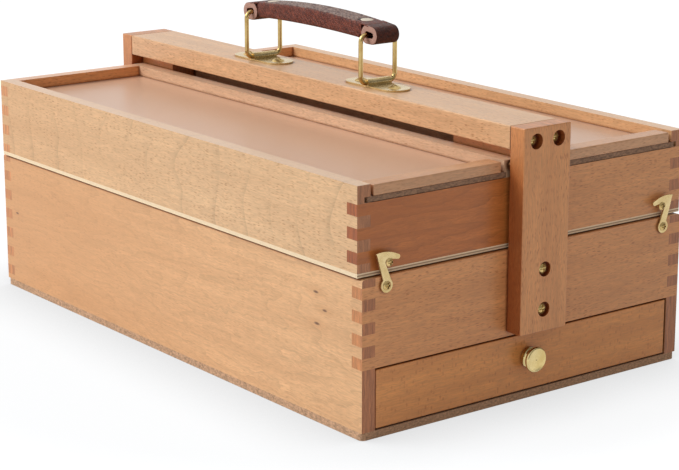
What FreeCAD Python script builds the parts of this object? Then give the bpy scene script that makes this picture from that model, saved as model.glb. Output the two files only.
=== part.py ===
"""Watercolour paint drawer box: finger-jointed beech box with a drawer, two winged lid trays,
a carrying bar on two uprights, brass hooks and a leather handle on wire loops.

Frame: millimetres, +X across the box, +Y towards its back, +Z up. The drawer opens towards -Y.
The origin is on the surface the box stands on, under the middle of the lower box.
"""
import FreeCAD, Part
import math
import os

Vec = FreeCAD.Vector

# ---------------------------------------------------------------- lower box
box_width = 270.0
box_length = 440.0
wall = 10.0                     # solid beech walls
lower_wall_height = 96.3
base_thickness = 5.0
base_corner_radius = 3.5
finger = 7.35                   # pitch of the finger joints
front_top_band = 5.1            # part finger at the top of the front corners
back_top_band = 4.4             # part finger at the top of the back corners
front_finger_count = 7          # whole fingers down the short front wall
rim_round = 1.5                 # long outer edges of the lower box's rim
panel = 3.0                     # thin panels: shelf and drawer bottom
groove_depth = 4.0              # how far a thin panel goes into a wall
groove_lip = 2.5                # wood left under the shelf's groove
panel_play = 0.3                # free space at each edge of a thin panel

# ---------------------------------------------------------------- trays and lids
tray_setback = 3.0              # trays are shorter than the lower box at each end
tray_overhang = 1.5             # trays stand out past the lower box's sides
tray_gap = 0.9                  # joint line between lower box and trays
tray_panel = 2.6                # thickness of the trays' bottoms
tray_wall_height = 53.7
tray_back_top_band = 3.7        # part finger at the top of the back corners
tray_inner_offset = 11.3        # centre plane to a tray's inner side
lid_recess = 11.3               # tray rim down to the top of the front end wall
lid_lift = 0.2                  # groove floor above the front end wall
lid_groove_height = 3.5
lid_groove_depth = 4.6          # in the outer side and the back end
lid_inner_groove_depth = 1.7    # shallower in the inner side, to leave the upright free
lid_thickness = 3.1
lid_play = 0.4                  # free space at the lid's back edge
lid_inner_play = 0.3
lid_outer_play = 2.2            # the lid's outer edge stops short of its groove's floor
strip_depth = 12.5              # beech strip that the lid is pulled by
strip_height = 7.0
strip_play = 2.2                # strip's end to the tray's walls

# ---------------------------------------------------------------- bar and uprights
bar_width = 39.0
bar_height = 14.9
bar_top = 180.5
upright_thickness = 13.3
upright_bottom = 47.9
block_width = 19.4
front_block_length = 65.0
back_block_length = 43.0
edge_ease = 0.8                 # softened edges of bar, uprights, strip and drawer front

# ---------------------------------------------------------------- screws of the uprights
screw_shank = 2.0               # radii
screw_head = 4.1
screw_head_height = 2.4
bar_screw_spacing = 18.6
bar_screw_drop = 8.9            # end screws below the bar's top
bar_screw_hole = 5.0            # radius of the deep counterbores
bar_screw_sink = 5.4
bar_screw_grip = 26.0           # length of thread in the bar's end grain
wall_screw_heights = (88.7, 62.4)
wall_screw_hole = 4.9
wall_screw_sink = 3.0
wall_screw_grip = 7.5
cross_share = 1.3               # cross recess's length, as a share of the head's radius
cross_width = 1.1
cross_depth = 1.2

# ---------------------------------------------------------------- tray hinges
pin_radius = 2.0
pin_in_upright = 8.0
pin_in_tray = 15.0
pin_play = 0.05                 # running clearance round the pin
pin_end_room = 1.0
pin_below_rim = 3.7             # pin axis below the tray's rim
hinge_washer_radius = 2.9
hinge_washer_thickness = 2.4

# ---------------------------------------------------------------- hooks
hook_thickness = 1.2
hook_stand_off = 0.3            # hook's back to the lower box's end
hook_side_offset = 17.7         # pivot to the side of the box
hook_pivot_drop = 5.7           # pivot below the lower box's rim
hook_eye_radius = 4.4
hook_height = 20.9              # pivot to the top of the hook
hook_screw_radius = 1.3
hook_screw_play = 0.05
hook_screw_head = 2.9
hook_screw_head_height = 1.3
hook_screw_grip = 7.0
hook_head_room = 0.15           # hook's face to the screw heads
catch_offset = 1.9              # catch from the pivot, towards the centre and up
catch_rise = 14.2
catch_radius = 1.2
catch_head = 2.7

# ---------------------------------------------------------------- drawer
drawer_side_gap = 0.8
drawer_floor_gap = 0.7
drawer_top_gap = 1.2
drawer_setback = 0.4            # drawer front behind the box's front
drawer_front_thickness = 10.0
drawer_wall = 8.0
drawer_wall_height = 33.6
drawer_panel_rise = 3.0         # drawer bottom above its walls' lower edges
drawer_back_gap = 0.6
knob_height = 27.5
knob_face_radius = 8.4
knob_rim = 1.0
knob_edge_round = 0.5           # back edge of the knob's head, softened
knob_dish = 0.9
knob_head_thickness = 2.8
knob_neck_radius = 4.2
knob_neck_length = 6.2
knob_flange_radius = 6.4
knob_flange_thickness = 1.2
knob_screw_radius = 2.0
knob_screw_grip = 7.0
knob_screw_head = 4.0
knob_screw_head_height = 2.2

# ---------------------------------------------------------------- handle
handle_middle = 2.9             # Y of the handle's middle
loop_spacing = 133.6
wire_radius = 1.6
wire_play = 0.05
loop_width = 29.4               # between the legs' axes
loop_height = 32.7              # knuckle axis to the grip bar's axis
loop_bend = 4.5
loop_end_gap = 4.0              # between the wire's two ends inside the knuckle
plate_length = 58.0
plate_width = 21.0
plate_thickness = 1.2
knuckle_radius = 2.7
wire_over_plate = 0.1           # gap under the wire
knuckle_length = 20.0
knuckle_foot = 5.0              # width of the web between plate and knuckle
plate_screw_inset = 11.0        # plate's end to its screw
plate_screw_shank = 1.6
plate_screw_head = 4.8
plate_screw_head_height = 2.0
plate_screw_grip = 11.0
grip_width = 20.0
grip_end_radius = 6.1           # strap folded round the grip bar
strap_thickness = 3.6
fold_length = 5.0               # flat part of the strap's fold
grip_rise = 3.0                 # arch of the grip's top
grip_underside_rise = 1.5
grip_core_depth = 10.6          # grip top to underside, at its ends
core_end_gap = 0.2              # core's end to the strap's fold
grip_top_over_wire = 7.3        # grip top above the grip bar's axis, at the core's ends
strap_drop = 0.5                # strap's top below the grip's top, over the folds

# ---------------------------------------------------------------- derived places
half_width = box_width / 2
half_length = box_length / 2
inner_half_width = half_width - wall
inner_half_length = half_length - wall
lower_rim = base_thickness + lower_wall_height
front_wall_bottom = lower_rim - front_top_band - front_finger_count * finger
shelf_bottom = front_wall_bottom + groove_lip

tray_half_width = half_width + tray_overhang
tray_outer_face = tray_half_width - wall
tray_end = half_length - tray_setback
tray_bottom = lower_rim + tray_gap
tray_wall_bottom = tray_bottom + tray_panel
tray_rim = tray_wall_bottom + tray_wall_height
tray_front_top = tray_rim - lid_recess
tray_inner_face = tray_inner_offset + wall
lid_groove_bottom = tray_front_top + lid_lift
lid_groove_top = lid_groove_bottom + lid_groove_height
lid_bottom = lid_groove_bottom + (lid_groove_height - lid_thickness) / 2
lid_top = lid_bottom + lid_thickness
lid_back_end = tray_end - wall + lid_groove_depth - lid_play

bar_bottom = bar_top - bar_height
bar_screw_height = bar_top - bar_screw_drop
upright_face = half_length + upright_thickness
pin_height = tray_rim - pin_below_rim
pin_offset = tray_inner_offset + wall / 2

hook_x = half_width - hook_side_offset
hook_z = lower_rim - hook_pivot_drop
hook_back = half_length + hook_stand_off
hook_front = hook_back + hook_thickness
hook_head_plane = hook_front + hook_head_room

drawer_half_width = inner_half_width - drawer_side_gap
drawer_bottom = base_thickness + drawer_floor_gap
drawer_front_top = front_wall_bottom - drawer_top_gap
drawer_face = -half_length + drawer_setback
drawer_front_back = drawer_face + drawer_front_thickness
drawer_back_end = inner_half_length - drawer_back_gap
drawer_rim = drawer_bottom + drawer_wall_height

plate_screw_spacing = plate_length - 2 * plate_screw_inset
knuckle_z = bar_top + plate_thickness + wire_over_plate + wire_radius
grip_bar_z = knuckle_z + loop_height
loop_places = (handle_middle - loop_spacing / 2, handle_middle + loop_spacing / 2)


# ---------------------------------------------------------------- helpers
def box(x, y, z):
    """Block between pairs of X, Y and Z limits, given in any order."""
    low = Vec(min(x), min(y), min(z))
    size = Vec(max(x), max(y), max(z)) - low
    return Part.makeBox(size.x, size.y, size.z, low)


def rod(radius, start, end):
    """Round bar from one point to another."""
    way = end - start
    return Part.makeCylinder(radius, way.Length, start, way)


def eased(shape, radius):
    """The block with all its edges rounded a little."""
    return shape.makeFillet(radius, shape.Edges)


def mirrored_x(shape):
    return shape.mirror(Vec(0, 0, 0), Vec(1, 0, 0))


def finger_bands(top, bottom, first_band, first_owner):
    """Heights of the fingers in a corner, from the top down, with the wall that owns each."""
    other = {"end": "side", "side": "end"}
    bands = []
    high = top
    low = top - first_band
    owner = first_owner
    while high > bottom + 1e-6:
        bands.append((max(low, bottom), high, owner))
        high = low
        low = high - finger
        owner = other[owner]
    return bands


def end_fingers(bands, x_limits, y_limits):
    """The blocks that an end wall's fingers fill in one corner."""
    return [box(x_limits, y_limits, (low, high)) for low, high, owner in bands if owner == "end"]


def screw(place, way, shank, grip, head, head_height):
    """Domed cross-head screw. place is under the head, way points from its tip to its head."""
    way = Vec(way).normalize()
    body = rod(shank, place - way * grip, place + way * (head_height / 2))
    dome_radius = (head ** 2 + head_height ** 2) / (2 * head_height)
    dome = Part.makeSphere(dome_radius, place + way * (head_height - dome_radius))
    dome = dome.common(rod(head, place, place + way * head_height))
    body = body.fuse(dome).removeSplitter()
    across = way.cross(Vec(0, 0, 1) if abs(way.z) < 0.5 else Vec(1, 0, 0))
    for direction in (across, across.cross(way)):
        slot = Part.makeBox(cross_share * head, cross_width, cross_depth)
        slot.translate(Vec(-cross_share * head / 2, -cross_width / 2, -cross_depth))
        turn = FreeCAD.Rotation(direction, way.cross(direction), way, "ZXY")
        slot.Placement = FreeCAD.Placement(place + way * head_height, turn).multiply(slot.Placement)
        body = body.cut(slot)
    return body


# ---------------------------------------------------------------- lower box
lower_front_bands = finger_bands(lower_rim, front_wall_bottom, front_top_band, "side")
lower_back_bands = finger_bands(lower_rim, base_thickness, back_top_band, "end")


def lower_envelope():
    """The lower box's outer shape, with its rim's long outer edges rounded."""
    body = box((-half_width, half_width), (-half_length, half_length), (base_thickness, lower_rim))
    edges = [e for e in body.Edges
             if abs(e.tangentAt(e.FirstParameter).y) > 0.9 and e.CenterOfMass.z > lower_rim - wall]
    return body.makeFillet(rim_round, edges)


def shelf_space(play):
    """The shelf's own block, or with no play the groove that takes it."""
    reach_x = inner_half_width + groove_depth - play
    reach_y = inner_half_length + groove_depth - play
    return box((-reach_x, reach_x), (-reach_y, reach_y), (shelf_bottom, shelf_bottom + panel))


def lower_side(side):
    """Long side wall of the lower box. side is -1 on the left, 1 on the right."""
    outer = side * half_width
    inner = side * inner_half_width
    body = box((inner, outer), (-half_length, half_length), (base_thickness, lower_rim))
    front = end_fingers(lower_front_bands, (inner, outer), (-half_length, -inner_half_length))
    back = end_fingers(lower_back_bands, (inner, outer), (inner_half_length, half_length))
    for notch in front + back:
        body = body.cut(notch)
    return body.cut(shelf_space(0)).common(lower_envelope())


def lower_end(end, bands, bottom):
    """End wall of the lower box with its fingers. end is -1 at the front, 1 at the back."""
    y_limits = (end * inner_half_length, end * half_length)
    body = box((-inner_half_width, inner_half_width), y_limits, (bottom, lower_rim))
    for side in (-1, 1):
        for block in end_fingers(bands, (side * inner_half_width, side * half_width), y_limits):
            body = body.fuse(block)
    body = body.removeSplitter().cut(shelf_space(0)).common(lower_envelope())
    for height in wall_screw_heights:
        mouth = Vec(0, end * half_length, height)
        body = body.cut(rod(screw_shank, mouth - Vec(0, end * wall_screw_grip, 0), mouth))
    return cut_hook_screw_holes(body)


def hook_pivot(side, end):
    """Middle of a hook's pivot on the lower box's end face."""
    return Vec(side * hook_x, end * half_length, hook_z)


def cut_hook_screw_holes(body):
    """Pilot holes for the hooks' pivot screws."""
    for side in (-1, 1):
        for end in (-1, 1):
            mouth = hook_pivot(side, end)
            body = body.cut(rod(hook_screw_radius, mouth - Vec(0, end * hook_screw_grip, 0), mouth))
    return body


def base_panel():
    body = box((-half_width, half_width), (-half_length, half_length), (0, base_thickness))
    upright_edges = [e for e in body.Edges if abs(e.tangentAt(e.FirstParameter).z) > 0.9]
    return body.makeFillet(base_corner_radius, upright_edges)


# ---------------------------------------------------------------- bar, uprights and their screws
def bar_screw_places(end):
    """Bottoms of the counterbores of the two screws into the bar."""
    y = end * (upright_face - bar_screw_sink)
    return [Vec(side * bar_screw_spacing / 2, y, bar_screw_height) for side in (-1, 1)]


def wall_screw_places(end):
    """Bottoms of the recesses of the two screws into the lower box."""
    y = end * (upright_face - wall_screw_sink)
    return [Vec(0, y, height) for height in wall_screw_heights]


def upright(end):
    """Upright on one end wall, with screw recesses and blind holes for the tray pins."""
    half = bar_width / 2
    body = box((-half, half), (end * half_length, end * upright_face), (upright_bottom, bar_top))
    body = eased(body, edge_ease)
    out = Vec(0, end, 0)
    for place in bar_screw_places(end):
        body = body.cut(rod(bar_screw_hole, place, place + out * upright_thickness))
        body = body.cut(rod(screw_shank, place - out * upright_thickness, place))
    for place in wall_screw_places(end):
        body = body.cut(rod(wall_screw_hole, place, place + out * upright_thickness))
        body = body.cut(rod(screw_shank, place - out * upright_thickness, place))
    for side in (-1, 1):
        mouth = Vec(side * pin_offset, end * half_length, pin_height)
        body = body.cut(rod(pin_radius, mouth, mouth + out * pin_in_upright))
    return body


def upright_screws():
    """Four screws in each upright."""
    screws = []
    for end in (-1, 1):
        out = Vec(0, end, 0)
        bar_length = upright_thickness - bar_screw_sink + bar_screw_grip
        for place in bar_screw_places(end):
            screws.append(screw(place, out, screw_shank, bar_length, screw_head, screw_head_height))
        wall_length = upright_thickness - wall_screw_sink + wall_screw_grip
        for place in wall_screw_places(end):
            screws.append(screw(place, out, screw_shank, wall_length, screw_head, screw_head_height))
    return Part.makeCompound(screws)


def handle_bar():
    """Carrying bar between the uprights, drilled for its end screws and the handle's screws."""
    half = bar_width / 2
    body = eased(box((-half, half), (-half_length, half_length), (bar_bottom, bar_top)), edge_ease)
    for end in (-1, 1):
        for place in bar_screw_places(end):
            face = Vec(place.x, end * half_length, place.z)
            body = body.cut(rod(screw_shank, face - Vec(0, end * bar_screw_grip, 0), face))
    for place in plate_screw_places():
        mouth = Vec(place.x, place.y, bar_top)
        body = body.cut(rod(plate_screw_shank, mouth - Vec(0, 0, plate_screw_grip), mouth))
    return body


def spacer_block(end, length):
    """Block under one end of the bar, standing on the lower box's end wall."""
    half = block_width / 2
    return box((-half, half), (end * half_length, end * (half_length - length)), (lower_rim, bar_bottom))


# ---------------------------------------------------------------- tray hinges
def hinge_pins():
    """Four pins, tight in the uprights and free in the trays' inner sides."""
    pins = []
    for side in (-1, 1):
        for end in (-1, 1):
            outer = Vec(side * pin_offset, end * (half_length + pin_in_upright), pin_height)
            inner = Vec(side * pin_offset, end * (tray_end - pin_in_tray), pin_height)
            pins.append(rod(pin_radius, outer, inner))
    return Part.makeCompound(pins)


def hinge_washers():
    """Washers on the pins, against the uprights."""
    washers = []
    for side in (-1, 1):
        for end in (-1, 1):
            outer = Vec(side * pin_offset, end * half_length, pin_height)
            inner = outer - Vec(0, end * hinge_washer_thickness, 0)
            washers.append(rod(hinge_washer_radius, outer, inner).cut(rod(pin_radius, outer, inner)))
    return Part.makeCompound(washers)


# ---------------------------------------------------------------- trays
tray_front_bands = finger_bands(tray_front_top, tray_wall_bottom, finger, "end")
tray_back_bands = finger_bands(tray_rim, tray_wall_bottom, tray_back_top_band, "side")
tray_lap_bands = [(tray_wall_bottom, tray_front_top, "end")]    # plain corner beside the upright


def lid_groove(side):
    """Space for the lid's edges: open at the front, stopped in the back end wall."""
    outer = side * (tray_outer_face + lid_groove_depth)
    inner = side * (tray_inner_face - lid_inner_groove_depth)
    return box((inner, outer), (-half_length, lid_back_end + lid_play), (lid_groove_bottom, lid_groove_top))


def tray_side(side, x_limits, front_bands):
    """Long wall of a tray, notched for the end walls' fingers and grooved for the lid."""
    body = box(x_limits, (-tray_end, tray_end), (tray_wall_bottom, tray_rim))
    front = end_fingers(front_bands, x_limits, (-tray_end, -tray_end + wall))
    back = end_fingers(tray_back_bands, x_limits, (tray_end - wall, tray_end))
    for notch in front + back:
        body = body.cut(notch)
    return body.cut(lid_groove(side))


def tray_outer_side(side):
    return tray_side(side, (side * tray_outer_face, side * tray_half_width), tray_front_bands)


def pin_bore(side, end):
    """Running bore for a hinge pin, through the corner of the tray."""
    mouth = Vec(side * pin_offset, end * tray_end, pin_height)
    depth = Vec(0, end * (pin_in_tray + pin_end_room), 0)
    return rod(pin_radius + pin_play, mouth - depth, mouth)


def tray_inner_side(side):
    """Wall beside the bar, bored at both ends for the hinge pins."""
    body = tray_side(side, (side * tray_inner_offset, side * tray_inner_face), tray_lap_bands)
    for end in (-1, 1):
        body = body.cut(pin_bore(side, end))
    return body


def tray_end_wall(side, end, outer_bands, inner_bands, top):
    """End wall of a tray with its two corners and a pilot hole for the catch screw."""
    y_limits = (end * (tray_end - wall), end * tray_end)
    body = box((side * tray_inner_face, side * tray_outer_face), y_limits, (tray_wall_bottom, top))
    outer_corner = (outer_bands, tray_outer_face, tray_half_width)
    inner_corner = (inner_bands, tray_inner_offset, tray_inner_face)
    for bands, near, far in (outer_corner, inner_corner):
        for block in end_fingers(bands, (side * near, side * far), y_limits):
            body = body.fuse(block)
    body = body.removeSplitter().cut(lid_groove(side)).cut(pin_bore(side, end))
    mouth = catch_place(side, end)
    return body.cut(rod(catch_radius, mouth - Vec(0, end * hook_screw_grip, 0), mouth))


def tray_bottom_panel(side):
    x_limits = (side * tray_inner_offset, side * tray_half_width)
    return box(x_limits, (-tray_end, tray_end), (tray_bottom, tray_wall_bottom))


def catch_place(side, end):
    """Middle of a catch screw on the tray's end face."""
    return Vec(side * (hook_x - catch_offset), end * tray_end, hook_z + catch_rise)


def catch_screws(side):
    """The two screws that a tray's hooks hold on to."""
    screws = []
    for end in (-1, 1):
        place = catch_place(side, end)
        place.y = end * hook_head_plane
        length = hook_head_plane - tray_end + hook_screw_grip
        way = Vec(0, end, 0)
        screws.append(screw(place, way, catch_radius, length, catch_head, hook_screw_head_height))
    return Part.makeCompound(screws)


def lid_panel(side):
    outer = side * (tray_outer_face + lid_groove_depth - lid_outer_play)
    inner = side * (tray_inner_face - lid_inner_groove_depth + lid_inner_play)
    return box((inner, outer), (-tray_end, lid_back_end), (lid_bottom, lid_top))


def lid_strip(side):
    """Beech strip on the lid's front edge."""
    x_limits = (side * (tray_inner_face + strip_play), side * (tray_outer_face - strip_play))
    z_limits = (lid_top, lid_top + strip_height)
    return eased(box(x_limits, (-tray_end, -tray_end + strip_depth), z_limits), edge_ease)


# ---------------------------------------------------------------- hooks
def hook_outline():
    """Outline of the left front hook about its pivot: x towards the centre, z up.

    The points are shares of the hook's height, and those of its waist shares of the eye's radius.
    """
    def at(x, z):
        return Vec(x, 0, z) * hook_height

    def waist(x):
        return Vec(x, 0, math.sqrt(1 - x ** 2)) * hook_eye_radius

    def line(a, b):
        return Part.makeLine(a, b)

    def arc(a, b, c):
        return Part.Arc(a, b, c).toShape()

    waist_left = waist(-0.64)
    waist_right = waist(0.73)
    heel = at(-0.322, 0.790)
    back_corner = at(-0.395, 0.985)
    beak_top = at(0.410, 0.873)
    beak_low = at(0.390, 0.732)
    throat = at(0.068, 0.790)
    neck = at(-0.063, 0.678)
    edges = [
        arc(waist_right, Vec(0, 0, -hook_eye_radius), waist_left),
        line(waist_left, heel),
        arc(heel, at(-0.346, 0.893), back_corner),
        arc(back_corner, at(0.010, 1.0), beak_top),
        arc(beak_top, at(0.478, 0.795), beak_low),
        line(beak_low, throat),
        arc(throat, at(-0.024, 0.766), neck),
        line(neck, waist_right),
    ]
    return Part.Face(Part.Wire(edges))


def hook(side, end):
    """Brass hook plate in its locked place."""
    body = hook_outline().extrude(Vec(0, hook_thickness, 0))
    body = body.cut(rod(hook_screw_radius + hook_screw_play, Vec(0, -1, 0), Vec(0, hook_thickness + 1, 0)))
    if side > 0:
        body = mirrored_x(body)
    start = -hook_front if end < 0 else hook_back
    body.translate(Vec(side * hook_x, start, hook_z))
    return body


def hook_pivot_screws():
    """The four screws that the hooks turn on."""
    screws = []
    for side in (-1, 1):
        for end in (-1, 1):
            place = hook_pivot(side, end)
            place.y = end * hook_head_plane
            length = hook_head_plane - half_length + hook_screw_grip
            way = Vec(0, end, 0)
            screws.append(screw(place, way, hook_screw_radius, length, hook_screw_head,
                                hook_screw_head_height))
    return Part.makeCompound(screws)


# ---------------------------------------------------------------- drawer
drawer_bands = finger_bands(drawer_rim, drawer_bottom, finger, "side")


def drawer_panel_space(play):
    """The drawer bottom's own block, or with no play the groove that takes it."""
    reach = drawer_half_width - drawer_wall + groove_depth - play
    y_limits = (drawer_front_back - groove_depth + play, drawer_back_end - drawer_wall + groove_depth - play)
    low = drawer_bottom + drawer_panel_rise
    return box((-reach, reach), y_limits, (low, low + panel))


def drawer_front():
    x_limits = (-drawer_half_width, drawer_half_width)
    body = box(x_limits, (drawer_face, drawer_front_back), (drawer_bottom, drawer_front_top))
    body = eased(body, edge_ease).cut(drawer_panel_space(0))
    outside = Vec(0, drawer_face, knob_height)
    inside = Vec(0, drawer_front_back, knob_height)
    return body.cut(rod(knob_screw_radius, outside, inside))


def drawer_side(side):
    x_limits = (side * (drawer_half_width - drawer_wall), side * drawer_half_width)
    body = box(x_limits, (drawer_front_back, drawer_back_end), (drawer_bottom, drawer_rim))
    for notch in end_fingers(drawer_bands, x_limits, (drawer_back_end - drawer_wall, drawer_back_end)):
        body = body.cut(notch)
    return body.cut(drawer_panel_space(0))


def drawer_back():
    inner = drawer_half_width - drawer_wall
    y_limits = (drawer_back_end - drawer_wall, drawer_back_end)
    body = box((-inner, inner), y_limits, (drawer_bottom, drawer_rim))
    for side in (-1, 1):
        for block in end_fingers(drawer_bands, (side * inner, side * drawer_half_width), y_limits):
            body = body.fuse(block)
    return body.removeSplitter().cut(drawer_panel_space(0))


def knob():
    """Turned brass knob with a dished face, threaded from behind."""
    def at(radius, out):
        return Vec(radius, 0, out)

    head_start = knob_neck_length
    face = head_start + knob_head_thickness
    dish_edge = knob_face_radius - knob_rim
    edges = [
        Part.makeLine(at(0, 0), at(knob_flange_radius, 0)),
        Part.makeLine(at(knob_flange_radius, 0), at(knob_flange_radius, knob_flange_thickness)),
        Part.Arc(at(knob_flange_radius, knob_flange_thickness),
                 at(knob_neck_radius, (knob_flange_thickness + head_start) / 2),
                 at(knob_face_radius - knob_edge_round, head_start)).toShape(),
        Part.Arc(at(knob_face_radius - knob_edge_round, head_start),
                 at(knob_face_radius, (head_start + face) / 2),
                 at(dish_edge, face)).toShape(),
        Part.makeLine(at(dish_edge, face), at(0, face)),
        Part.makeLine(at(0, face), at(0, 0)),
    ]
    body = Part.Face(Part.Wire(edges)).revolve(Vec(0, 0, 0), Vec(0, 0, 1), 360)
    dish_radius = (dish_edge ** 2 + knob_dish ** 2) / (2 * knob_dish)
    body = body.cut(Part.makeSphere(dish_radius, Vec(0, 0, face - knob_dish + dish_radius)))
    body = body.cut(rod(knob_screw_radius, Vec(0, 0, 0), Vec(0, 0, knob_screw_grip)))
    body.rotate(Vec(0, 0, 0), Vec(1, 0, 0), 90)
    body.translate(Vec(0, drawer_face, knob_height))
    return body


def knob_screw():
    place = Vec(0, drawer_front_back, knob_height)
    length = drawer_front_thickness + knob_screw_grip
    return screw(place, Vec(0, 1, 0), knob_screw_radius, length, knob_screw_head, knob_screw_head_height)


# ---------------------------------------------------------------- handle
def plate_screw_places():
    """Places of the handle plates' screws, on top of the plates."""
    places = []
    for middle in loop_places:
        for step in (-1, 1):
            places.append(Vec(0, middle + step * plate_screw_spacing / 2, bar_top + plate_thickness))
    return places


def handle_plate(middle):
    """Brass plate with round ends and a rolled knuckle across its middle."""
    half = plate_length / 2 - plate_width / 2
    top = bar_top + plate_thickness
    body = box((-plate_width / 2, plate_width / 2), (middle - half, middle + half), (bar_top, top))
    for end in (-1, 1):
        centre = middle + end * half
        body = body.fuse(rod(plate_width / 2, Vec(0, centre, bar_top), Vec(0, centre, top)))
    reach = knuckle_length / 2
    knuckle = rod(knuckle_radius, Vec(-reach, middle, knuckle_z), Vec(reach, middle, knuckle_z))
    foot = box((-reach, reach), (middle - knuckle_foot / 2, middle + knuckle_foot / 2), (top, knuckle_z))
    body = body.fuse(foot).fuse(knuckle).removeSplitter()
    bore = rod(wire_radius + wire_play, Vec(-reach, middle, knuckle_z), Vec(reach, middle, knuckle_z))
    body = body.cut(bore)
    for place in plate_screw_places():
        if abs(place.y - middle) < plate_length / 2:
            body = body.cut(rod(plate_screw_shank, Vec(place.x, place.y, bar_top), place))
    return body


def handle_plate_screws():
    screws = []
    for place in plate_screw_places():
        length = plate_thickness + plate_screw_grip
        screws.append(screw(place, Vec(0, 0, 1), plate_screw_shank, length, plate_screw_head,
                            plate_screw_head_height))
    return Part.makeCompound(screws)


def wire_loop(middle):
    """One bent wire: both ends in the knuckle, two legs and the bar that the grip hangs on."""
    half = loop_width / 2
    start = loop_end_gap / 2
    corners = [(start, 0), (half, 0), (half, loop_height), (-half, loop_height), (-half, 0), (-start, 0)]
    points = [Vec(x, middle, knuckle_z + z) for x, z in corners]
    edges = []
    here = points[0]
    for before, corner, after in zip(points, points[1:], points[2:]):
        come = (corner - before).normalize()
        leave = (after - corner).normalize()
        arc_start = corner - come * loop_bend
        arc_end = corner + leave * loop_bend
        centre = corner - come * loop_bend + leave * loop_bend
        arc_middle = centre + (corner - centre).normalize() * loop_bend
        edges.append(Part.makeLine(here, arc_start))
        edges.append(Part.Arc(arc_start, arc_middle, arc_end).toShape())
        here = arc_end
    edges.append(Part.makeLine(here, points[-1]))
    path = Part.Wire(edges)
    section = Part.Wire(Part.makeCircle(wire_radius, points[0], Vec(1, 0, 0)))
    return path.makePipeShell([section], True, False)


def arch_block(top_z, bottom_z, top_rise, bottom_rise, half_chord, reach):
    """Slab across the grip's width between two arches that end at half_chord."""
    front = handle_middle - half_chord
    back = handle_middle + half_chord
    top_crown = Vec(0, handle_middle, top_z + top_rise)
    low_crown = Vec(0, handle_middle, bottom_z + bottom_rise)
    top = Part.Arc(Vec(0, front, top_z), top_crown, Vec(0, back, top_z))
    low = Part.Arc(Vec(0, back, bottom_z), low_crown, Vec(0, front, bottom_z))
    right = Part.makeLine(top.EndPoint, low.StartPoint)
    left = Part.makeLine(low.EndPoint, top.StartPoint)
    face = Part.Face(Part.Wire([top.toShape(), right, low.toShape(), left]))
    slab = face.extrude(Vec(2 * reach, 0, 0))
    slab.translate(Vec(-reach, 0, 0))
    return slab


def fold_slot(middle, end, radius):
    """Stadium through the grip's width round the grip bar, longer away from the handle's middle."""
    reach = grip_width / 2
    low = Vec(-reach, middle, grip_bar_z)
    far = Vec(-reach, middle + end * fold_length, grip_bar_z)
    across = Vec(2 * reach, 0, 0)
    body = rod(radius, low, low + across).fuse(rod(radius, far, far + across))
    slab = box((-reach, reach), (low.y, far.y), (grip_bar_z - radius, grip_bar_z + radius))
    return body.fuse(slab).removeSplitter()


def grip_strap():
    """Outer strap: arched over the core and folded round both grip bars."""
    half_chord = loop_spacing / 2
    top = grip_bar_z + grip_top_over_wire - strap_drop
    low = top - strap_thickness
    rise = grip_rise + strap_drop
    body = arch_block(top, low, rise, rise, half_chord, grip_width / 2)
    for middle, end in zip(loop_places, (-1, 1)):
        body = body.fuse(fold_slot(middle, end, grip_end_radius))
    body = body.removeSplitter()
    for middle, end in zip(loop_places, (-1, 1)):
        body = body.cut(fold_slot(middle, end, grip_end_radius - strap_thickness))
    return body


def grip_core():
    """Padded core under the strap, between the two folds."""
    half_chord = loop_spacing / 2 - grip_end_radius - core_end_gap
    top = grip_bar_z + grip_top_over_wire
    low = top - grip_core_depth
    body = arch_block(top, low, grip_rise, grip_underside_rise, half_chord, grip_width / 2)
    return body.cut(grip_strap())


# ---------------------------------------------------------------- all sub-parts
def build_all():
    parts = {
        "lower_left_side": lower_side(-1),
        "lower_right_side": lower_side(1),
        "lower_front_end": lower_end(-1, lower_front_bands, front_wall_bottom),
        "lower_back_end": lower_end(1, lower_back_bands, base_thickness),
        "base_panel": base_panel(),
        "inner_shelf": shelf_space(panel_play),
        "front_upright": upright(-1),
        "back_upright": upright(1),
        "upright_screws": upright_screws(),
        "handle_bar": handle_bar(),
        "front_spacer_block": spacer_block(-1, front_block_length),
        "back_spacer_block": spacer_block(1, back_block_length),
        "hinge_pins": hinge_pins(),
        "hinge_washers": hinge_washers(),
        "hook_pivot_screws": hook_pivot_screws(),
        "drawer_front": drawer_front(),
        "drawer_left_side": drawer_side(-1),
        "drawer_right_side": drawer_side(1),
        "drawer_back": drawer_back(),
        "drawer_bottom": drawer_panel_space(panel_play),
        "drawer_knob": knob(),
        "drawer_knob_screw": knob_screw(),
        "handle_plate_screws": handle_plate_screws(),
        "grip_strap": grip_strap(),
        "grip_core": grip_core(),
    }
    for name, side in (("left", -1), ("right", 1)):
        parts[name + "_tray_outer_side"] = tray_outer_side(side)
        parts[name + "_tray_inner_side"] = tray_inner_side(side)
        front = tray_end_wall(side, -1, tray_front_bands, tray_lap_bands, tray_front_top)
        parts[name + "_tray_front_end"] = front
        parts[name + "_tray_back_end"] = tray_end_wall(side, 1, tray_back_bands, tray_back_bands, tray_rim)
        parts[name + "_tray_bottom"] = tray_bottom_panel(side)
        parts[name + "_tray_catch_screws"] = catch_screws(side)
        parts[name + "_lid_panel"] = lid_panel(side)
        parts[name + "_lid_strip"] = lid_strip(side)
        for place, end in (("front", -1), ("back", 1)):
            parts[place + "_" + name + "_hook"] = hook(side, end)
    for place, middle in zip(("front", "back"), loop_places):
        parts[place + "_handle_plate"] = handle_plate(middle)
        parts[place + "_handle_loop"] = wire_loop(middle)
    return parts


os.makedirs("parts", exist_ok=True)
for node, shape in build_all().items():
    shape.exportStep("parts/" + node + ".step")
    print(node, len(shape.Solids), round(shape.Volume, 1), shape.isValid())
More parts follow.
